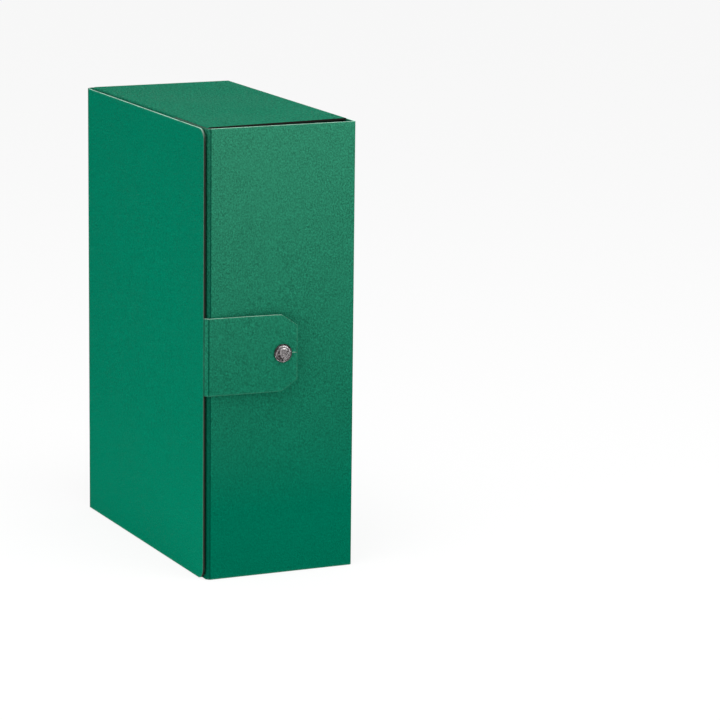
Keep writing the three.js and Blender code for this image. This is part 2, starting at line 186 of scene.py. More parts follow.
def add_camera():
    back = Vector((
        math.sin(CAMERA_AZIMUTH) * math.cos(CAMERA_ELEVATION),
        -math.cos(CAMERA_AZIMUTH) * math.cos(CAMERA_ELEVATION),
        math.sin(CAMERA_ELEVATION),
    ))
    level_right = Vector((0, 0, 1)).cross(back).normalized()
    level_up = back.cross(level_right)
    right = math.cos(CAMERA_ROLL) * level_right + math.sin(CAMERA_ROLL) * level_up
    up = -math.sin(CAMERA_ROLL) * level_right + math.cos(CAMERA_ROLL) * level_up
    middle = Vector((0, 0, HEIGHT / 2))
    place = middle + CAMERA_SHIFT_RIGHT * right + CAMERA_SHIFT_UP * up + CAMERA_DISTANCE * back
    data = bpy.data.cameras.new("photo_camera")
    data.sensor_width = SENSOR_MM
    data.lens = CAMERA_FOCAL_PX * SENSOR_MM / IMAGE_PX
    data.clip_end = 20
    camera = bpy.data.objects.new("photo_camera", data)
    axes = Matrix((right, up, back)).transposed()
    camera.matrix_world = Matrix.Translation(place) @ axes.to_4x4()
    bpy.context.scene.collection.objects.link(camera)
    bpy.context.scene.camera = camera


# Node helpers for the materials.
def srgb(red, green, blue):
    def linear(value):
        value /= 255
        return value / 12.92 if value <= 0.04045 else ((value + 0.055) / 1.055) ** 2.4
    return (linear(red), linear(green), linear(blue), 1)


def new_node(tree, kind, **settings):
    node = tree.nodes.new(kind)
    for name, value in settings.items():
        setattr(node, name, value)
    return node


def feed(tree, target, source):
    if isinstance(source, bpy.types.NodeSocket):
        tree.links.new(source, target)
    else:
        target.default_value = source


def math_node(tree, operation, first, second=None, clamp=False):
    node = new_node(tree, "ShaderNodeMath", operation=operation, use_clamp=clamp)
    feed(tree, node.inputs[0], first)
    if second is not None:
        feed(tree, node.inputs[1], second)
    return node.outputs[0]


def remap(tree, value, from_low, from_high, to_low, to_high):
    node = new_node(tree, "ShaderNodeMapRange")
    feed(tree, node.inputs["Value"], value)
    feed(tree, node.inputs["From Min"], from_low)
    feed(tree, node.inputs["From Max"], from_high)
    feed(tree, node.inputs["To Min"], to_low)
    feed(tree, node.inputs["To Max"], to_high)
    return node.outputs["Result"]


def spread_noise(tree, noise_value, low, high):
    """Brings the middle range of a noise to a range of its own."""
    return remap(tree, noise_value, 0.3, 0.7, low, high)


def mix_colours(tree, share, first, second):
    node = new_node(tree, "ShaderNodeMix", data_type="RGBA")
    feed(tree, node.inputs["Factor"], share)
    feed(tree, node.inputs["A"], first)
    feed(tree, node.inputs["B"], second)
    return node.outputs["Result"]


def noise_texture(tree, place, scale, detail=2.0, roughness=0.5, distortion=0.0):
    node = new_node(tree, "ShaderNodeTexNoise")
    feed(tree, node.inputs["Vector"], place)
    feed(tree, node.inputs["Scale"], scale)
    feed(tree, node.inputs["Detail"], detail)
    feed(tree, node.inputs["Roughness"], roughness)
    feed(tree, node.inputs["Distortion"], distortion)
    return node.outputs["Fac"]


def new_group(name, inputs, outputs):
    tree = bpy.data.node_groups.new(name, "ShaderNodeTree")
    for socket_name, kind, value in inputs:
        socket = tree.interface.new_socket(socket_name, in_out="INPUT", socket_type=kind)
        socket.default_value = value
    for socket_name, kind in outputs:
        tree.interface.new_socket(socket_name, in_out="OUTPUT", socket_type=kind)
    start = new_node(tree, "NodeGroupInput")
    end = new_node(tree, "NodeGroupOutput")
    return tree, start.outputs, end.inputs


def leather_grain_group():
    """Pebbles, fine strokes and soft folds: a height, and a tone that is dark along the strokes."""
    inputs = [("Pebble Size", "NodeSocketFloat", 1.5 * MM), ("Tone", "NodeSocketFloat", 0.1)]
    outputs = [("Height", "NodeSocketFloat"), ("Tone", "NodeSocketFloat")]
    tree, given, result = new_group("Leather grain", inputs, outputs)

    def scaled(value, factor):
        return math_node(tree, "MULTIPLY", value, factor)

    stretched = new_node(tree, "ShaderNodeMapping")
    stretched.inputs["Scale"].default_value = (1, 1, GRAIN_STRETCH)
    feed(tree, stretched.inputs["Vector"], new_node(tree, "ShaderNodeTexCoord").outputs["Object"])
    place = stretched.outputs[0]
    density = math_node(tree, "DIVIDE", 1.0, given["Pebble Size"])
    drift = new_node(tree, "ShaderNodeTexNoise")
    feed(tree, drift.inputs["Vector"], place)
    feed(tree, drift.inputs["Scale"], scaled(density, DRIFT_DENSITY))
    offset = new_node(tree, "ShaderNodeVectorMath", operation="SCALE")
    feed(tree, offset.inputs[0], drift.outputs["Color"])
    feed(tree, offset.inputs["Scale"], scaled(given["Pebble Size"], DRIFT_REACH))
    moved = new_node(tree, "ShaderNodeVectorMath", operation="ADD")
    feed(tree, moved.inputs[0], place)
    feed(tree, moved.inputs[1], offset.outputs[0])
    cells = new_node(tree, "ShaderNodeTexVoronoi", feature="DISTANCE_TO_EDGE")
    feed(tree, cells.inputs["Vector"], moved.outputs[0])
    feed(tree, cells.inputs["Scale"], density)
    pebble = remap(tree, cells.outputs["Distance"], 0.0, GROOVE_WIDTH, 0.0, 1.0)
    folds = noise_texture(tree, moved.outputs[0], scaled(density, FOLD_DENSITY), 3.0, 0.6, 1.0)
    strokes = noise_texture(tree, place, scaled(density, STROKE_DENSITY), 1.0, 0.5, 0.5)
    height = math_node(tree, "ADD", scaled(pebble, PEBBLE_RELIEF), scaled(strokes, STROKE_RELIEF))
    feed(tree, result["Height"], math_node(tree, "ADD", height, scaled(folds, FOLD_RELIEF)))
    patches = noise_texture(tree, place, scaled(density, PATCH_DENSITY), 2.0)
    strength = remap(tree, patches, 0.38, 0.6, 0.8, 1.1)
    stroke_tone = remap(tree, strokes, 0.32, 0.66, STROKE_DARK, STROKE_LIGHT)
    stroke_tone = math_node(tree, "MULTIPLY", stroke_tone, strength)
    fold_tone = scaled(math_node(tree, "SUBTRACT", folds, 0.5), FOLD_TONE)
    swing = math_node(tree, "ADD", fold_tone, stroke_tone)
    feed(tree, result["Tone"], math_node(tree, "MULTIPLY", swing, given["Tone"]))
    return tree


def edge_wear_group():
    """A broken mask that follows the wear painted on a mesh, with patches where it is rubbed off."""
    inputs = [("Patch Size", "NodeSocketFloat", 4 * MM), ("Amount", "NodeSocketFloat", 1.0)]
    tree, given, result = new_group("Edge wear", inputs, [("Mask", "NodeSocketFloat")])
    painted = new_node(tree, "ShaderNodeAttribute", attribute_name="wear").outputs["Fac"]
    place = new_node(tree, "ShaderNodeTexCoord").outputs["Object"]
    patches = noise_texture(tree, place, math_node(tree, "DIVIDE", 1.0, given["Patch Size"]), 4.0)
    broken = spread_noise(tree, patches, LEAST_WEAR, 1.0)
    worn = math_node(tree, "MULTIPLY", painted, broken)
    feed(tree, result["Mask"], math_node(tree, "MULTIPLY", worn, given["Amount"], clamp=True))
    return tree


def place_group(tree, group, **values):
    node = new_node(tree, "ShaderNodeGroup", node_tree=group)
    for name, value in values.items():
        feed(tree, node.inputs[name.replace("_", " ")], value)
    return node.outputs


def new_material(name):
    material = bpy.data.materials.new(name)
    material.use_nodes = True
    tree = material.node_tree
    shader = tree.nodes["Principled BSDF"]
    return material, tree, shader


# Green coated board, its cut edge and the plated metal.
GREEN = srgb(0, 117, 89)
DEEP_GREEN = srgb(0, 104, 79)
# The paler green is a painted sheen that grows towards the top of the board.
SHEEN_GREEN = srgb(47, 130, 100)
# The darkest green is painted shade in the creases and on the front bevel facet.
CREASE_SHADE_GREEN = srgb(0, 62, 47)
RUBBED_GREEN = srgb(120, 178, 152)
CORE = srgb(112, 118, 108)
CORE_SHADE = srgb(84, 86, 78)
# The dark core towards the lining, also used as painted shade on shaded cut edges.
CORE_DARK_AND_SHADE = srgb(32, 33, 29)
# The pale core is partly rubbed fibres and partly a painted highlight on the uppermost cut edges.
RUBBED_AND_LIT_CORE = srgb(186, 234, 212)
NICKEL = srgb(168, 163, 164)
# The bright nickel is a painted highlight, and the dark nickel random tarnish with painted shade.
NICKEL_HIGHLIGHT = srgb(228, 226, 226)
NICKEL_TARNISH_AND_SHADE = srgb(36, 33, 33)
# Grime, with painted shade in hollows and on the cap rim's outer side.
GRIME_AND_SHADE = srgb(14, 14, 13)

# Leather grain. The densities are shares of one feature for each pebble.
GRAIN_STRETCH = 0.75
GROOVE_WIDTH = 0.25
DRIFT_DENSITY = 0.45
DRIFT_REACH = 1.4
FOLD_DENSITY = 0.5
STROKE_DENSITY = 1.3
PATCH_DENSITY = 0.09
PEBBLE_RELIEF = 0.25
STROKE_RELIEF = 0.5
FOLD_RELIEF = 0.3
STROKE_DARK = -0.45
STROKE_LIGHT = 0.27
FOLD_TONE = 0.2

# Board.
BOARD_SHEEN = 0.002
CLOUDS_PER_METRE = 14.0
CLOUD_SHADE = 0.96
# The painted sheen starts at this share of the height.
SHEEN_FROM = 0.15
GRAIN_WEAK_BELOW = 0.1
GRAIN_FULL_ABOVE = 0.35
WEAK_GRAIN = 0.45
WEAR_PATCH = 5 * MM
WEAR_AMOUNT = 0.22
LEAST_WEAR = 0.35

# Cut edges and plated metal, with their noises as features per metre.
FIBRES_PER_METRE = 900.0
CORE_PATCHES_PER_METRE = 90.0
CORE_SHEEN = 0.1
FIBRE_RELIEF = 0.05 * MM
TARNISH_PER_METRE = 700.0
RELIEF_PER_METRE = 380.0
CAP_RELIEF = 0.6 * MM
# Painted shade falls on faces that lean this way, a painted highlight on faces that lean the other way.
SHADED_SIDE = (-0.7, 0, -0.7)


def painted(tree, name):
    return new_node(tree, "ShaderNodeAttribute", attribute_name=name).outputs["Fac"]


def give_bump(tree, shader, height, depth):
    bump = new_node(tree, "ShaderNodeBump")
    bump.inputs["Distance"].default_value = depth
    feed(tree, bump.inputs["Height"], height)
    feed(tree, shader.inputs["Normal"], bump.outputs["Normal"])


def board_material(name, grain, wear, deep, pebble, grain_depth, grain_tone, sheen_share):
    """Green coated board, paler towards its top with a painted sheen, darker with painted shade in
    creases and rubbed at its borders.
    """
    material, tree, shader = new_material(name)
    leather = place_group(tree, grain, Pebble_Size=pebble, Tone=grain_tone)
    place = new_node(tree, "ShaderNodeTexCoord").outputs["Object"]
    clouds = noise_texture(tree, place, CLOUDS_PER_METRE, 3.0)
    up = new_node(tree, "ShaderNodeSeparateXYZ")
    feed(tree, up.inputs[0], place)
    # Painted sheen: the green pales towards the top of the board.
    painted_sheen = remap(tree, up.outputs["Z"], SHEEN_FROM * HEIGHT, HEIGHT, 0.0, sheen_share)
    green = mix_colours(tree, painted_sheen, deep, SHEEN_GREEN)
    toned = new_node(tree, "ShaderNodeHueSaturation")
    feed(tree, toned.inputs["Color"], green)
    cloud_tone = spread_noise(tree, clouds, CLOUD_SHADE, 1.0)
    weak_below = GRAIN_WEAK_BELOW * HEIGHT
    relief = remap(tree, up.outputs["Z"], weak_below, GRAIN_FULL_ABOVE * HEIGHT, WEAK_GRAIN, 1.0)
    grain_swing = math_node(tree, "MULTIPLY", leather["Tone"], relief)
    feed(tree, toned.inputs["Value"], math_node(tree, "ADD", grain_swing, cloud_tone))
    # Painted shade in the creases and on the front bevel facet.
    creased = mix_colours(tree, painted(tree, "crease"), toned.outputs["Color"], CREASE_SHADE_GREEN)
    mask = place_group(tree, wear, Patch_Size=WEAR_PATCH, Amount=WEAR_AMOUNT)["Mask"]
    feed(tree, shader.inputs["Base Color"], mix_colours(tree, mask, creased, RUBBED_GREEN))
    gloss = spread_noise(tree, clouds, 0.5, 0.62)
    dulled = math_node(tree, "MULTIPLY", mask, 0.2)
    feed(tree, shader.inputs["Roughness"], math_node(tree, "ADD", gloss, dulled))
    shader.inputs["Specular IOR Level"].default_value = BOARD_SHEEN
    give_bump(tree, shader, math_node(tree, "MULTIPLY", leather["Height"], relief), grain_depth)
    return material


def core_material():
    """Grey board, darker towards the lining and with painted shade on shaded cut edges, and pale along
    the edges that stand uppermost from rubbing and a painted highlight.
    """
    material, tree, shader = new_material("board_core")
    place = new_node(tree, "ShaderNodeTexCoord").outputs["Object"]
    fibres = noise_texture(tree, place, FIBRES_PER_METRE, 4.0, 0.6)
    patches = noise_texture(tree, place, CORE_PATCHES_PER_METRE, 3.0)
    mottle = math_node(tree, "ADD", math_node(tree, "MULTIPLY", fibres, 0.4), patches)
    darkened = mix_colours(tree, remap(tree, mottle, 0.4, 1.0, 0.0, 1.0), CORE_SHADE, CORE)
    # The depth attribute darkens towards the lining, and on whole sheets adds painted shade.
    depth = painted(tree, "depth")
    darkened = mix_colours(tree, remap(tree, depth, 0.3, 0.7, 0.0, 1.0), darkened, CORE_DARK_AND_SHADE)
    # Uppermost edges pale from wear and a painted highlight, less towards the lining.
    broken = remap(tree, patches, 0.25, 0.5, 0.5, 1.0)
    rubbed_and_lit = math_node(tree, "MULTIPLY", painted(tree, "rubbed_and_lit"), broken)
    rubbed_and_lit = math_node(tree, "MULTIPLY", rubbed_and_lit, remap(tree, depth, 0.5, 1.0, 1.0, 0.3), True)
    feed(tree, shader.inputs["Base Color"], mix_colours(tree, rubbed_and_lit, darkened, RUBBED_AND_LIT_CORE))
    shader.inputs["Roughness"].default_value = 0.9
    shader.inputs["Specular IOR Level"].default_value = CORE_SHEEN
    give_bump(tree, shader, fibres, FIBRE_RELIEF)
    return material


def nickel_material():
    """Worn plating with a relief that shows nothing and random tarnish, with painted shade where it
    faces down and to the lid and a painted highlight where it faces the other way.
    """
    material, tree, shader = new_material("plated_nickel")
    place = new_node(tree, "ShaderNodeTexCoord").outputs["Object"]
    tarnish = noise_texture(tree, place, TARNISH_PER_METRE, 5.0, 0.6)
    share = remap(tree, tarnish, 0.42, 0.6, 0.0, 0.7)
    relief = noise_texture(tree, place, RELIEF_PER_METRE, 1.0, 0.4, 0.6)
    from_line = math_node(tree, "ABSOLUTE", math_node(tree, "SUBTRACT", relief, 0.5))
    share = math_node(tree, "MAXIMUM", share, remap(tree, from_line, 0.015, 0.075, 0.9, 0.0))
    # Painted shade on faces leaning down and towards the lid, a painted highlight on the opposite side.
    shaded_side_dot = new_node(tree, "ShaderNodeVectorMath", operation="DOT_PRODUCT")
    feed(tree, shaded_side_dot.inputs[0], new_node(tree, "ShaderNodeTexCoord").outputs["Normal"])
    shaded_side_dot.inputs[1].default_value = SHADED_SIDE
    toward_shaded_side = shaded_side_dot.outputs["Value"]
    share = math_node(tree, "ADD", share, remap(tree, toward_shaded_side, 0.02, 0.3, 0.0, 0.4), True)
    highlighted = mix_colours(tree, remap(tree, toward_shaded_side, -0.05, -0.2, 0.0, 1.0), NICKEL, NICKEL_HIGHLIGHT)
    plated = mix_colours(tree, share, highlighted, NICKEL_TARNISH_AND_SHADE)
    # Grime, with painted shade in hollows and on the cap rim's outer side.
    darkened = mix_colours(tree, painted(tree, "grime_and_shade"), plated, GRIME_AND_SHADE)
    feed(tree, shader.inputs["Base Color"], darkened)
    shader.inputs["Metallic"].default_value = 1.0
    feed(tree, shader.inputs["Roughness"], spread_noise(tree, tarnish, 0.16, 0.34))
    give_bump(tree, shader, from_line, CAP_RELIEF)
    return material


# Sections of folded board. Their corners lie on the outer face, and the board lies to their left.
def spread(length, stops=()):
    """Places along a run: close together near its ends, a cell apart between them."""
    ends = [step for step in BORDER_STEPS if step < length / 3]
    inset = ends[-1] if ends else 0
    count = max(1, round((length - 2 * inset) / CELL))
    places = {0, length, *stops, *ends, *(length - step for step in ends)}
    places.update(inset + (length - 2 * inset) * step / count for step in range(count + 1))
    ordered = sorted(places)
    kept = [ordered[0]]
    for place in ordered[1:]:
        if place - kept[-1] > NARROWEST_CELL:
            kept.append(place)
    return kept


def left_of(direction):
    return Vector((-direction.y, direction.x))


def trim_length(before, corner, after):
    if corner[2] == 0:
        return 0
    arriving = (Vector(corner[:2]) - Vector(before[:2])).normalized()
    leaving = (Vector(after[:2]) - Vector(corner[:2])).normalized()
    return corner[2] * math.tan(arriving.angle(leaving) / 2)


def folded_section(corners, mitred_start=False, mitred_end=False, stops=None, facet_run=None):
    """Columns of a folded board, one for each place along its section."""
    columns = []
    last = len(corners) - 1
    trims = [0.0] * (last + 1)
    for index in range(1, last):
        trims[index] = trim_length(corners[index - 1], corners[index], corners[index + 1])
    for run in range(last):
        start = Vector(corners[run][:2])
        end = Vector(corners[run + 1][:2])
        along = (end - start).normalized()
        first = start + along * trims[run]
        length = (end - start).length - trims[run] - trims[run + 1]
        run_stops = [stop - trims[run] for stop in (stops or {}).get(run, ())]
        slit = HINGE_SLIT / 2 / math.cos(MITRE)
        if run == 0 and mitred_start:
            first += along * slit
            length -= slit
        if run == last - 1 and mitred_end:
            length -= slit
        places = spread(length, run_stops) if length > 1e-6 else []
        reach = min(MITRE_REACH, length)
        for place in places:
            inner_place = place
            if run == 0 and mitred_start and place < reach:
                inner_place = place + BOARD * math.tan(MITRE) * (1 - place / reach)
            if run == last - 1 and mitred_end and length - place < reach:
                inner_place = place - BOARD * math.tan(MITRE) * (1 - (length - place) / reach)
            at_hinge = run == 0 and mitred_start and place < CREASE_WIDTH
            at_hinge = at_hinge or (run == last - 1 and mitred_end and length - place < CREASE_WIDTH)
            in_facet = run == facet_run
            columns.append(Column(
                first + along * place,
                first + along * inner_place + left_of(along) * BOARD,
                CREASE_SHADE if at_hinge else FACET_SHADE * in_facet,
                run,
                place / length,
            ))
        if run < last - 1:
            columns.extend(bend(*corners[run:run + 3], trims[run + 1], run))
    return columns


def bend(before, corner, after, trim, run):
    """The columns of one rounded fold, without its two ends."""
    arriving = (Vector(corner[:2]) - Vector(before[:2])).normalized()
    leaving = (Vector(after[:2]) - Vector(corner[:2])).normalized()
    turn = arriving.angle(leaving)
    radius = corner[2]
    centre = Vector(corner[:2]) - arriving * trim + left_of(arriving) * radius
    start_angle = math.atan2(-arriving.x, arriving.y)
    columns = []
    for step in range(1, BEND_STEPS):
        share = step / BEND_STEPS
        spoke = Vector((math.cos(start_angle + turn * share), math.sin(start_angle + turn * share)))
        # The middle of a tight crease carries painted shade.
        ridge = CREASE_SHADE * math.sin(math.pi * share) if radius == CREASE_RADIUS else 0
        inner = centre + spoke * (radius - BOARD)
        columns.append(Column(centre + spoke * radius, inner, ridge, run, 1.0))
    return columns


def corner_cut(distance, radius):
    """How far a rounded corner cuts in, at a distance from the side that it starts on."""
    if distance >= radius:
        return 0
    return radius - math.sqrt(max(0, radius ** 2 - (radius - distance) ** 2))


def board_sheet(name, columns, rows, to_space, low_cut=None, high_cut=None, keep=None, bow=None,
                face="board", rubbed_and_lit_top=None, creased=None, edge_shade=None):
    """A closed sheet of board over a lattice of columns and rows.

    low_cut and high_cut cut the two borders back, keep leaves cells out, and bow makes a hollow.
    creased says which cut edges are the walls of a crease, and so are green and not the core's grey.
    """
    low = rows[0]
    high = rows[-1]
    mesh = bmesh.new()
    wear_layer = mesh.verts.layers.float.new("wear")
    crease_shade_layer = mesh.verts.layers.float.new("crease")
    rubbed_and_lit_layer = mesh.verts.layers.float.new("rubbed_and_lit")
    depth_and_shade_layer = mesh.verts.layers.float.new("depth")
    vertices = {}
    count = len(columns)

    def vertex(i, j, side):
        key = (i, j, side)
        if key in vertices:
            return vertices[key]
        column = columns[i]
        row = rows[j]
        start = low_cut(column) if low_cut else 0
        stop = high_cut(column) if high_cut else 0
        shift = start * max(0, 1 - (row - low) / CUT_REACH)
        shift -= stop * max(0, 1 - (high - row) / CUT_REACH)
        section_point = column.outer if side == 0 else column.inner
        if bow:
            inward = (column.inner - column.outer).normalized()
            section_point = section_point + inward * bow(column, (row - low) / (high - low))
        made = mesh.verts.new(to_space(section_point, row + shift))
        to_border = min(row - low, high - row, (column.outer - columns[0].outer).length)
        to_border = min(to_border, (column.outer - columns[-1].outer).length)
        made[wear_layer] = math.exp(-to_border / WEAR_WIDTH)
        made[crease_shade_layer] = column.ridge
        # Whole sheets can carry painted shade on their cut edges, as dark as the core's dark side.
        made[depth_and_shade_layer] = max(side, edge_shade(column) if edge_shade else 0)
        # The top row's cut edge is paled by wear and a painted highlight.
        if row == high and rubbed_and_lit_top:
            made[rubbed_and_lit_layer] = rubbed_and_lit_top(column)
        vertices[key] = made
        return made

    kept = {
        (i, j)
        for i in range(count - 1)
        for j in range(len(rows) - 1)
        if keep is None or keep(columns[i], columns[i + 1], rows[j], rows[j + 1])
    }
    for i, j in kept:
        corners = [(i, j), (i + 1, j), (i + 1, j + 1), (i, j + 1)]
        mesh.faces.new([vertex(a, b, 0) for a, b in corners])
        inner_face = mesh.faces.new([vertex(a, b, 1) for a, b in reversed(corners)])
        inner_face.material_index = 2
        neighbours = [(i, j - 1), (i + 1, j), (i, j + 1), (i - 1, j)]
        for side, neighbour in enumerate(neighbours):
            if neighbour in kept:
                continue
            (a, b), (c, d) = corners[side], corners[(side + 1) % 4]
            around = [(a, b, 0), (a, b, 1), (c, d, 1), (c, d, 0)]
            edge = mesh.faces.new([vertex(*key) for key in around])
            in_crease = a == c and creased and creased(columns[a], (rows[b] + rows[d]) / 2)
            edge.material_index = 0 if in_crease else 1
    bmesh.ops.recalc_face_normals(mesh, faces=mesh.faces)
    round_layer = mesh.edges.layers.float.new("bevel_weight_edge")
    for edge in mesh.edges:
        on_core = {side.material_index == 1 for side in edge.link_faces}
        edge[round_layer] = 1 if len(on_core) == 2 else 0
    piece = finish_mesh(name, mesh, [materials[face], materials["core"], materials["lining"]])
    round_edges(piece, EDGE_ROUND, "WEIGHT")
    return piece


def finish_mesh(name, mesh, slots):
    data = bpy.data.meshes.new(name)
    mesh.to_mesh(data)
    mesh.free()
    for material in slots:
        data.materials.append(material)
    data.polygons.foreach_set("use_smooth", [True] * len(data.polygons))
    data.set_sharp_from_angle(angle=SHARP_ANGLE)
    piece = bpy.data.objects.new(name, data)
    bpy.context.scene.collection.objects.link(piece)
    return piece


def round_edges(piece, width, limit="ANGLE"):
    bevel = piece.modifiers.new("worn_edges", "BEVEL")
    bevel.width = width
    bevel.segments = ROUND_SEGMENTS
    bevel.limit_method = limit
    bevel.angle_limit = SHARP_ANGLE
    bevel.harden_normals = True


def dome(share_across, share_along):
    return math.sin(math.pi * share_across) * math.sin(math.pi * share_along)


def ripple(section_point, share, size):
    """The slight unevenness that shows in the sheen of any flat board."""
    across = section_point * RIPPLES_PER_METRE
    return size * noise.noise(Vector((across.x, across.y, share * RIPPLES_PER_PANEL)))


def upright(section_point, height):
    return (section_point.x, section_point.y, height)


def evenly(share):
    """Gives every cut edge of a sheet the same painted shade."""
    return lambda column: share


def wrap_sheet():
    """Strip, front wall, base panel and spine, with the bevel that the lid hangs on."""
    strip_run, bevel_run, front_run, base_run, spine_run = range(5)
    hollows = {front_run: FRONT_HOLLOW, base_run: BASE_HOLLOW, spine_run: SPINE_HOLLOW}
    fold_start = SETBACK_AT_BASE
    fold_end = WALL_BACK_Y - FRONT_Y
    columns = folded_section([
        (STRIP_X, FRONT_Y + STRIP_WIDTH, 0),
        (STRIP_X, FRONT_Y + FRONT_BEVEL, CREASE_RADIUS),
        (STRIP_X + FRONT_BEVEL, FRONT_Y, CREASE_RADIUS),
        (BASE_X, FRONT_Y, FOLD_RADIUS),
        (BASE_X, SPINE_Y, FOLD_RADIUS),
        (LID_X + SPINE_BEVEL, SPINE_Y, CREASE_RADIUS),
        (LID_X, lid_hinge.y, 0),
    ], mitred_end=True, stops={base_run: (fold_start, fold_end)}, facet_run=bevel_run)
    span = HEIGHT - 2 * EDGE_DROP
    tangent = FOLD_RADIUS - EDGE_DROP
    rows = [EDGE_DROP + place for place in spread(span, (tangent, span - tangent))]

    def strip_cut(column):
        if column.run != strip_run:
            return 0
        return corner_cut(FRONT_Y + STRIP_WIDTH - column.outer.y, STRIP_CORNER)

    def keep(first, second, row, next_row):
        middle_y = (first.outer.y + second.outer.y) / 2 - FRONT_Y
        middle_row = (row + next_row) / 2
        on_base = first.run == base_run and fold_start < middle_y < fold_end
        at_fold = middle_row < FOLD_RADIUS or middle_row > HEIGHT - FOLD_RADIUS
        return not (on_base and at_fold)

    def bow(column, share):
        if column.run not in hollows or not 0 < column.share < 1:
            return 0
        uneven = ripple(column.outer, share, WRAP_RIPPLE) * dome(column.share, 0.5)
        return hollows[column.run] * dome(column.share, share) + abs(uneven)

    def creased(column, row):
        return column.outer.y > WALL_BACK_Y - SPINE_BEVEL and column.outer.x < STRIP_X

    # Pale top cut edge: wear with a painted highlight, less on the strip and the bevel.
    def rubbed_and_lit_top(column):
        if column.run == strip_run:
            return 0.1
        return 0.3 if column.outer.x < STRIP_X + FRONT_BEVEL else 1

    # The strip's cut edges, in the gap under the lid, carry painted shade.
    def edge_shade(column):
        return STRIP_EDGE_SHADE if column.run == strip_run else 0

    return board_sheet("wrap_sheet", columns, rows, upright, strip_cut, strip_cut, keep, bow,
                       rubbed_and_lit_top=rubbed_and_lit_top, creased=creased, edge_shade=edge_shade)


def end_wall_sheet(name, upper):
    """One end wall, from its fold on the base panel over to the free edge of its flap."""
    wall_run = 1
    columns = folded_section([
        (BASE_X, HEIGHT - FOLD_RADIUS, 0),
        (BASE_X, HEIGHT, FOLD_RADIUS),
        (FLAP_X, HEIGHT, FOLD_RADIUS),
        (FLAP_X, HEIGHT - FLAP_LENGTH, 0),
    ])
    front = FRONT_Y + SETBACK_AT_LID
    rows = [front + place for place in spread(WALL_BACK_Y - front)]

    def flap_taper(column):
        depth = HEIGHT - column.outer.y
        taper = FLAP_TAPER * max(0, depth - FOLD_RADIUS) / (FLAP_LENGTH - FOLD_RADIUS)
        return taper + corner_cut(FLAP_LENGTH - depth, FLAP_CORNER)

    def front_cut(column):
        if column.outer.x < FLAP_X + BOARD:
            return flap_taper(column)
        share = (column.outer.x - FLAP_X - BOARD) / (BASE_X - BOARD - FLAP_X - BOARD)
        return (SETBACK_AT_BASE - SETBACK_AT_LID) * min(1, share)

    def back_cut(column):
        return flap_taper(column) if column.outer.x < FLAP_X + BOARD else 0

    def bow(column, share):
        on_wall = column.run == wall_run and column.share < 1
        return END_HOLLOW * dome(column.share, share) if on_wall else 0

    def to_space(section_point, row):
        return (section_point.x, row, section_point.y if upper else HEIGHT - section_point.y)

    return board_sheet(name, columns, rows, to_space, front_cut, back_cut, bow=bow,
                       face="end_board", edge_shade=evenly(END_EDGE_SHADE))


def lid_sheet():
    length = lid_hinge.y - tab_hinge.y
    columns = folded_section([
        (LID_X, lid_hinge.y, 0),
        (LID_X, tab_hinge.y, 0),
    ], mitred_start=True, stops={0: [length - step * MM for step in LID_FRONT_STOPS]})
    span = HEIGHT - 2 * LID_DROP
    tab_stops = (TAB_LOW - LID_DROP, TAB_HIGH - LID_DROP)
    rows = [LID_DROP + place for place in spread(span, tab_stops)]

    def front_cut(column):
        return corner_cut(column.outer.y - tab_hinge.y, LID_CORNER)

    def bow(column, share):
        hollow = LID_HOLLOW * dome(column.share, share)
        return hollow + abs(ripple(column.outer, share, LID_RIPPLE)) * dome(column.share, share)

    def creased(column, row):
        return column.outer.y > 0 or TAB_LOW < row < TAB_HIGH

    # Pale top cut edge: wear with a painted highlight, fading out round the front corner.
    def rubbed_and_lit_top(column):
        return min(1, (column.outer.y - tab_hinge.y) / LID_CORNER)

    return board_sheet("lid_sheet", columns, rows, upright, front_cut, front_cut, bow=bow,
                       face="lid_board", rubbed_and_lit_top=rubbed_and_lit_top, creased=creased,
                       edge_shade=evenly(LID_EDGE_SHADE))


def tab_sheet():
    """The closing tab with its bevel. It stands off the front wall towards its tip."""
    length = TAB_TIP_X - TAB_CREASE_X
    columns = folded_section([
        (LID_X, tab_hinge.y, 0),
        (TAB_CREASE_X, TAB_OUTER_Y, CREASE_RADIUS),
        (TAB_TIP_X, tab_low.y, 0),
    ], mitred_start=True, stops={1: [length - step * MM for step in TAB_TIP_STOPS]})
    rows = [TAB_LOW + place for place in spread(TAB_HIGH - TAB_LOW)]

    def chamfer(column):
        """The straight chamfer, with its corner on the long edge softened."""
        to_tip = TAB_TIP_X - column.outer.x
        slope = TAB_CHAMFER_ACROSS / TAB_CHAMFER_ALONG
        straight = (TAB_CHAMFER_ALONG - to_tip) * slope
        soft = TAB_CORNER * CHAMFER_SOFTNESS if to_tip < 3 * TAB_CHAMFER_ALONG else 0
        return (straight + math.sqrt(straight ** 2 + 4 * soft ** 2)) / 2

    def creased(column, row):
        return column.outer.x < TAB_CREASE_X

    # Pale top cut edge: wear with a painted highlight, less along the chamfer.
    def rubbed_and_lit_top(column):
        return 0.5 if TAB_TIP_X - column.outer.x < TAB_CHAMFER_ALONG else 1

    return board_sheet("tab_sheet", columns, rows, upright, chamfer, chamfer,
                       rubbed_and_lit_top=rubbed_and_lit_top, creased=creased, edge_shade=evenly(TAB_EDGE_SHADE))


SLIT_STEPS = 12
SLIT_MARGIN = 0.3 * MM
SLIT_HALF = 0.14 * MM
SLIT_LIFT = 0.005 * MM
SLIT_LIP = 0.05 * MM
SLIT_RUBBED_AND_LIT = 0.8


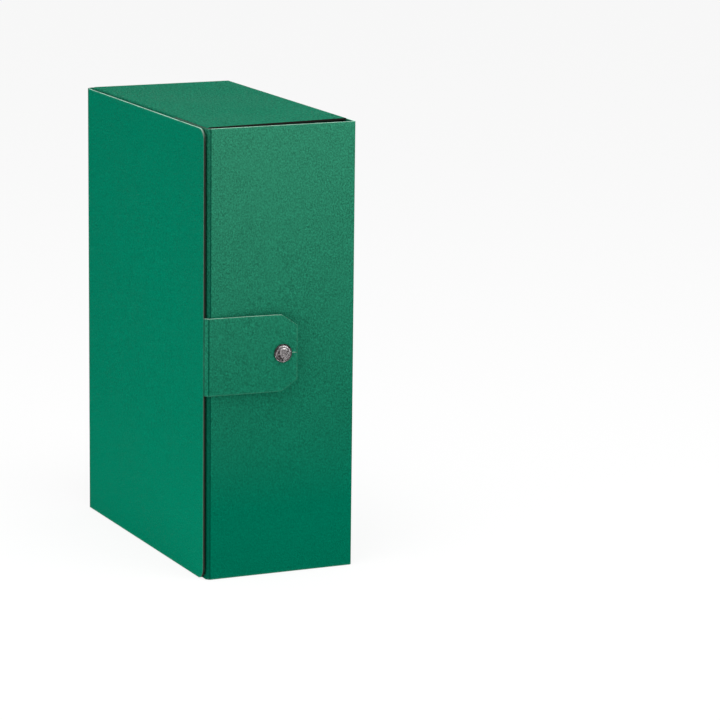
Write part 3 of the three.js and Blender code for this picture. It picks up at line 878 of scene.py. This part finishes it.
def tab_slit_mark(on_tab, outward):
    """The fine cut that runs from the press stud to the tab's free edge."""
    along = Vector((-outward.y, outward.x, 0))
    start = on_tab + along * (CAP_RADIUS * MM)
    length = TAB_TIP_X - start.x - SLIT_MARGIN
    mesh = bmesh.new()
    depth_and_shade_layer = mesh.verts.layers.float.new("depth")
    rubbed_and_lit_layer = mesh.verts.layers.float.new("rubbed_and_lit")
    rings = []
    for step in range(SLIT_STEPS + 1):
        share = step / SLIT_STEPS
        middle = start + along * (length * share) + outward * SLIT_LIFT
        half = SLIT_HALF * math.sqrt(math.sin(math.pi * min(0.97, max(0.03, share))))
        lip = outward * SLIT_LIP
        points = [(half, 0.0), (half * 0.3, 1.0), (-half, 0.0)]
        ring = []
        for height, raised in points:
            made = mesh.verts.new(middle + lip * raised + Vector((0, 0, height)))
            # The lip's upper side is paled with a painted highlight, its lower side darkened with
            # painted shade.
            made[depth_and_shade_layer] = 0 if height > 0 else 1
            made[rubbed_and_lit_layer] = SLIT_RUBBED_AND_LIT if height > 0 else 0
            ring.append(made)
        rings.append(ring)
    for first, second in zip(rings, rings[1:]):
        for step in range(3):
            after = (step + 1) % 3
            mesh.faces.new([first[step], first[after], second[after], second[step]])
    mesh.faces.new(rings[0])
    mesh.faces.new(rings[-1])
    bmesh.ops.recalc_face_normals(mesh, faces=mesh.faces)
    piece = finish_mesh("tab_slit_mark", mesh, [materials["core"]])
    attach(piece, "tab")


FILLER_STEPS = 12
FILLER_ROWS = 40
FILLER_OVERLAP = 0.25 * MM
FILLER_SKIN = 0.05 * MM
FILLER_DEPTH = 0.9


def crease_filler(name, hinge, backward, forward, low, high):
    """The skin of board inside a crease, across the slit at its hinge."""
    half = HINGE_SLIT / 2
    mesh = bmesh.new()
    crease_shade_layer = mesh.verts.layers.float.new("crease")
    inward = (backward.normalized() + forward.normalized()).normalized()
    across = Vector((-inward.y, inward.x))
    if across.dot(forward) < 0:
        across = -across
    offsets = [-half - FILLER_OVERLAP]
    offsets += [-half + 2 * half * step / FILLER_STEPS for step in range(FILLER_STEPS + 1)]
    offsets.append(half + FILLER_OVERLAP)
    heights = [low + (high - low) * step / FILLER_ROWS for step in range(FILLER_ROWS + 1)]
    grid = {}
    for i, offset in enumerate(offsets):
        for j, height in enumerate(heights):
            skin = FILLER_SKIN + abs(offset) * math.tan(MITRE)
            for k, depth in enumerate((skin, BOARD * FILLER_DEPTH)):
                point = Vector((hinge.x, hinge.y)) + inward * depth + across * offset
                grid[i, j, k] = mesh.verts.new((point.x, point.y, height))
                # The whole skin carries painted shade for the crease.
                grid[i, j, k][crease_shade_layer] = CREASE_SHADE
    wide = len(offsets) - 1
    tall = len(heights) - 1

    def face(*corners):
        mesh.faces.new([grid[corner] for corner in corners])

    for i in range(wide):
        for j in range(tall):
            face((i, j, 0), (i + 1, j, 0), (i + 1, j + 1, 0), (i, j + 1, 0))
            face((i, j, 1), (i, j + 1, 1), (i + 1, j + 1, 1), (i + 1, j, 1))
        face((i, 0, 0), (i, 0, 1), (i + 1, 0, 1), (i + 1, 0, 0))
        face((i, tall, 0), (i + 1, tall, 0), (i + 1, tall, 1), (i, tall, 1))
    for j in range(tall):
        face((0, j, 0), (0, j + 1, 0), (0, j + 1, 1), (0, j, 1))
        face((wide, j, 0), (wide, j, 1), (wide, j + 1, 1), (wide, j + 1, 0))
    bmesh.ops.recalc_face_normals(mesh, faces=mesh.faces)
    piece = finish_mesh(name, mesh, [materials["board"]])
    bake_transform(piece)


def turned_piece(name, profile, place, outward, body, node):
    """A round metal piece from its profile: points of radius and height in mm, and grime with painted
    shade.
    """
    mesh = bmesh.new()
    grime_and_shade_layer = mesh.verts.layers.float.new("grime_and_shade")
    rings = []
    for radius, height, grime_and_shade in profile:
        count = TURNED_SEGMENTS if radius > 0 else 1
        angles = [2 * math.pi * step / count for step in range(count)]
        ring = [(radius * math.cos(a) * MM, height * MM, radius * math.sin(a) * MM) for a in angles]
        rings.append([mesh.verts.new(point) for point in ring])
        for made in rings[-1]:
            made[grime_and_shade_layer] = grime_and_shade
    loops = list(zip(rings, rings[1:]))
    if len(rings[0]) > 1:
        loops.append((rings[-1], rings[0]))
    for first, second in loops:
        for step in range(TURNED_SEGMENTS):
            after = (step + 1) % TURNED_SEGMENTS
            corners = [first[step % len(first)], first[after % len(first)]]
            corners += [second[after % len(second)], second[step % len(second)]]
            unique = list(dict.fromkeys(corners))
            if len(unique) > 2:
                mesh.faces.new(unique)
    bmesh.ops.recalc_face_normals(mesh, faces=mesh.faces)
    turn = math.atan2(-outward.x, outward.y)
    mesh.transform(Matrix.Translation(place) @ Matrix.Rotation(turn, 4, "Z"))
    piece = finish_mesh(name, mesh, [materials["nickel"]])
    round_edges(piece, METAL_ROUND)
    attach(piece, body)
    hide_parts(node)


# Metal pieces. Their heights run outwards from the face of the board that carries them, all in mm.
BOARD_MM = BOARD / MM
FIT = 0.3
PLATE = 0.4
CAP_RADIUS = 7.25
CAP_TOP = 2.0
FACE_RADIUS = 6.0
FACE_EDGE = 1.25
FACE_STEPS = 12
RING_STEP = 9
RING_DEPTH = 0.12
ROLL_RADIUS = 0.43
ROLL_HEIGHT = 0.79
ROLL_STEPS = 10
EYELET_RADIUS = 1.8
EYELET_BORE = 1.1
EYELET_FLARE = 2.6
SOCKET_DEPTH = 1.4
STUD_FLANGE = 0.8
STUD_HEIGHT = 1.35


# Each profile is a list of points: radius, height, and grime with painted shade, from 0 to 1.
def cap_profile():
    """A domed face with a fine ring, a groove round it and a rolled rim, darkened with painted shade in
    the groove and on the rim's outer side.
    """
    profile = []
    for step in range(FACE_STEPS + 1):
        share = step / FACE_STEPS
        height = FACE_EDGE + (CAP_TOP - FACE_EDGE) * (1 - share * share)
        in_ring = step == RING_STEP
        profile.append((FACE_RADIUS * share, height - RING_DEPTH * in_ring, 0.5 * in_ring))
    roll_middle = CAP_RADIUS - ROLL_RADIUS
    # Painted shade in the groove round the face.
    profile.append((FACE_RADIUS + 0.1, 0.85, 1))
    profile.append((roll_middle - ROLL_RADIUS, 0.8, 1))
    for step in range(ROLL_STEPS + 1):
        angle = math.radians(165 - 22.5 * step)
        radius = roll_middle + ROLL_RADIUS * math.cos(angle)
        # The rim's outer side carries painted shade.
        grime_and_shade = 0.1 if angle > math.radians(85) else 1
        profile.append((radius, ROLL_HEIGHT + ROLL_RADIUS * math.sin(angle), grime_and_shade))
    flare_top = -BOARD_MM - FIT - PLATE - FIT
    return profile + [
        (EYELET_RADIUS, FIT, 0.3),
        (EYELET_RADIUS, flare_top, 0.3),
        (EYELET_FLARE, flare_top, 0.2),
        (EYELET_FLARE, flare_top - 0.3, 0),
        (EYELET_BORE, flare_top - 0.3, 0.4),
        (EYELET_BORE, FIT, 0.8),
        (0, FIT, 0.8),
    ]


def socket_profile():
    top = -BOARD_MM - FIT
    plate = top - PLATE
    mouth = plate - SOCKET_DEPTH
    return [
        (2.1, plate, 0.4), (3.2, plate, 0.5), (4.5, plate, 0.7), (4.5, mouth, 0.6),
        (3.75, mouth, 0.3), (3.75, mouth - 0.35, 0), (4.3, mouth - 0.35, 0), (4.9, mouth - 0.2, 0.2),
        (5.6, mouth - 0.1, 0.1), (6.1, mouth + 0.1, 0.1), (6.2, mouth + 0.5, 0.2),
        (6.2, top - 0.15, 0.4), (6.05, top, 0.5), (2.1, top, 0.5),
    ]


def stud_profile():
    flange = STUD_FLANGE
    top = flange + STUD_HEIGHT
    return [
        (1.8, FIT, 0.6), (5.3, FIT, 0.6), (5.5, 0.45, 0.2), (5.45, 0.65, 0), (5.2, flange, 0),
        (4.4, flange, 0), (4.2, flange - 0.1, 0.6), (3.6, flange - 0.1, 0.6), (2.9, flange, 0.8),
        (2.9, flange + 0.4, 0.5), (3.2, flange + 0.7, 0), (3.2, top - 0.35, 0), (3.1, top - 0.1, 0),
        (2.85, top, 0), (2.65, top, 0.3), (2.65, flange, 0.9), (1.8, flange, 0.9),
    ]


def post_profile():
    inner = -BOARD_MM - FIT
    flare = STUD_FLANGE + FIT
    return [
        (0.9, inner - 0.6, 0.8), (1.2, inner - 0.6, 0.2), (4.4, inner - 0.6, 0),
        (5.2, inner - 0.45, 0), (5.5, inner - 0.2, 0.1), (5.4, inner, 0.6), (1.5, inner, 0.6),
        (1.5, flare, 0.5), (2.35, flare, 0.4), (2.35, flare + 0.2, 0), (2.1, flare + 0.3, 0),
        (0.9, flare + 0.3, 0.5),
    ]


def rivet_profile():
    """A flat tubular rivet: a head with a raised ring round a dished middle, and its spread tail."""
    tail = -2 * BOARD_MM - LAYER_GAP / MM - FIT
    return [
        (0, 0.82, 0.2), (0.9, 0.86, 0.1), (1.7, 0.99, 0), (2.3, 0.99, 0), (2.7, 0.8, 0.7),
        (3.1, 0.74, 0.9), (3.6, 0.8, 0.3), (4.1, 0.72, 0.1), (4.4, 0.55, 0.3), (4.5, 0.42, 0.6),
        (4.4, FIT, 0.8), (2, FIT, 0.8), (2, tail, 0.6), (3.5, tail, 0.5), (3.6, tail - 0.2, 0),
        (3.3, tail - 0.5, 0), (2.2, tail - 0.6, 0), (1.3, tail - 0.45, 0.5), (1.2, tail, 0.9),
        (1.2, 0, 1), (0, 0, 1),
    ]


def add_press_stud():
    tab_run = Vector((TAB_TIP_X - TAB_CREASE_X, tab_low.y - TAB_OUTER_Y, 0))
    outward = Vector((tab_run.y, -tab_run.x, 0)).normalized()
    snap_x = TAB_TIP_X - SNAP_FROM_TIP
    snap_y = TAB_OUTER_Y + tab_run.y * (snap_x - TAB_CREASE_X) / tab_run.x
    on_tab = Vector((snap_x, snap_y, HEIGHT / 2))
    on_wall = Vector(((stud_low.x + stud_high.x) / 2, FRONT_Y, HEIGHT / 2))
    front = Vector((0, -1, 0))
    tab_slit_mark(on_tab, outward)
    turned_piece("press_stud_cap", cap_profile(), on_tab, outward, "tab", "snap_cap")
    turned_piece("press_stud_socket", socket_profile(), on_tab, outward, "tab", "snap_socket")
    turned_piece("press_stud_stud", stud_profile(), on_wall, front, "box", "snap_stud")
    turned_piece("press_stud_post", post_profile(), on_wall, front, "box", "snap_post")
    spring = frame["nodes"]["snap_spring"].data
    spring.materials.clear()
    spring.materials.append(materials["nickel"])


def add_strip_rivets():
    for node in ("upper_strip_rivet", "lower_strip_rivet"):
        low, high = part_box(node)
        place = Vector((STRIP_X, (low.y + high.y) / 2, (low.z + high.z) / 2))
        name = node.replace("strip", "tubular")
        turned_piece(name, rivet_profile(), place, Vector((-1, 0, 0)), "box", node)


# Studio: each soft light's place, aim, side and power, and the pale floor and surround.
SOFTBOXES = {
    "front_softbox": ((0.8, -1.2, 0.9), (0, 0, 0.25), 1.1, 9.2),
    "top_softbox": ((-0.3, -0.6, 2.2), (0, 0, 0.2), 1.2, 27),
    "left_softbox": ((-1.0, -0.4, 0.06), (0, 0, 0.08), 0.6, 5.1),
    "low_left_softbox": ((-0.55, 0.1, 0.04), (0, 0, 0.1), 0.35, 0.7),
}
FLOOR_SIZE = 14
FLOOR_WHITE = 0.92
FLOOR_GLOW = 0.85
AMBIENT = 0.55


def white_to_the_camera(tree):
    path = new_node(tree, "ShaderNodeLightPath")
    shown = math_node(tree, "MAXIMUM", path.outputs["Is Camera Ray"], path.outputs["Is Glossy Ray"])
    return math_node(tree, "MAXIMUM", shown, path.outputs["Is Transmission Ray"])


def add_floor():
    bpy.ops.mesh.primitive_plane_add(size=FLOOR_SIZE, location=(0, 0, 0))
    floor = bpy.context.object
    floor.name = "studio_floor"
    material, tree, shader = new_material("pale_floor")
    shader.inputs["Base Color"].default_value = (FLOOR_WHITE, FLOOR_WHITE, FLOOR_WHITE, 1)
    shader.inputs["Roughness"].default_value = 0.9
    shader.inputs["Specular IOR Level"].default_value = 0
    glow = new_node(tree, "ShaderNodeEmission")
    mixed = new_node(tree, "ShaderNodeMixShader")
    feed(tree, mixed.inputs["Fac"], math_node(tree, "MULTIPLY", white_to_the_camera(tree), FLOOR_GLOW))
    tree.links.new(shader.outputs["BSDF"], mixed.inputs[1])
    tree.links.new(glow.outputs["Emission"], mixed.inputs[2])
    tree.links.new(mixed.outputs["Shader"], tree.nodes["Material Output"].inputs["Surface"])
    floor.data.materials.append(material)
    floor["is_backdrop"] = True


def add_area(name, place, aim, size, power):
    data = bpy.data.lights.new(name, "AREA")
    data.size = size
    data.energy = power
    light = bpy.data.objects.new(name, data)
    light.location = place
    light.rotation_euler = (Vector(aim) - Vector(place)).to_track_quat("-Z", "Y").to_euler()
    light.visible_camera = False
    bpy.context.scene.collection.objects.link(light)


def add_light():
    world = bpy.data.worlds.new("studio")
    bpy.context.scene.world = world
    world.use_nodes = True
    tree = world.node_tree
    background = tree.nodes["Background"]
    background.inputs["Color"].default_value = (1, 1, 1, 1)
    strength = remap(tree, white_to_the_camera(tree), 0.0, 1.0, AMBIENT, 1.0)
    feed(tree, background.inputs["Strength"], strength)
    for name, settings in SOFTBOXES.items():
        add_area(name, *settings)


add_camera()
grain_group = leather_grain_group()
wear_group = edge_wear_group()
# Faces of board: deepest green, pebble size, depth and tone of the grain, and how far a painted sheen
# pales it upwards.
BOARD_FACES = {
    "board": (DEEP_GREEN, 1.45 * MM, 1.5 * MM, 0.62, 1.0),
    "end_board": (GREEN, 2.4 * MM, 2.2 * MM, 0.75, 0.5),
    "lid_board": (GREEN, 1.45 * MM, 1.2 * MM, 0.45, 0.0),
    "lining": (GREEN, 1.45 * MM, 0.03 * MM, 0.1, 0.5),
}
materials = {
    face: board_material("green_" + face, grain_group, wear_group, *values)
    for face, values in BOARD_FACES.items()
}
materials["core"] = core_material()
materials["nickel"] = nickel_material()

wrap = wrap_sheet()
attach(wrap, "box")
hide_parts("box_body")
for piece_name, is_upper in (("upper_end_wall", True), ("lower_end_wall", False)):
    end_wall = end_wall_sheet(piece_name, is_upper)
    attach(end_wall, "box")
    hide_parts("box_body")
lid_piece = lid_sheet()
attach(lid_piece, "lid")
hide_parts("lid")
tab_piece = tab_sheet()
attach(tab_piece, "tab")
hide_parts("closing_tab")

lid_run = Vector((0, -1))
crease_filler("lid_crease", lid_hinge, Vector((1, 1)), lid_run,
              LID_DROP, HEIGHT - LID_DROP)
crease_filler("tab_crease", tab_hinge, -lid_run, Vector((1, -1)), TAB_LOW, TAB_HIGH)
add_press_stud()
add_strip_rivets()
add_floor()
add_light()
bpy.context.scene.view_settings.view_transform = "Standard"

boxes = {"cad": cad_bounds, "visual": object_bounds()}
{name: [list(corner) for corner in corners] for name, corners in boxes.items()}
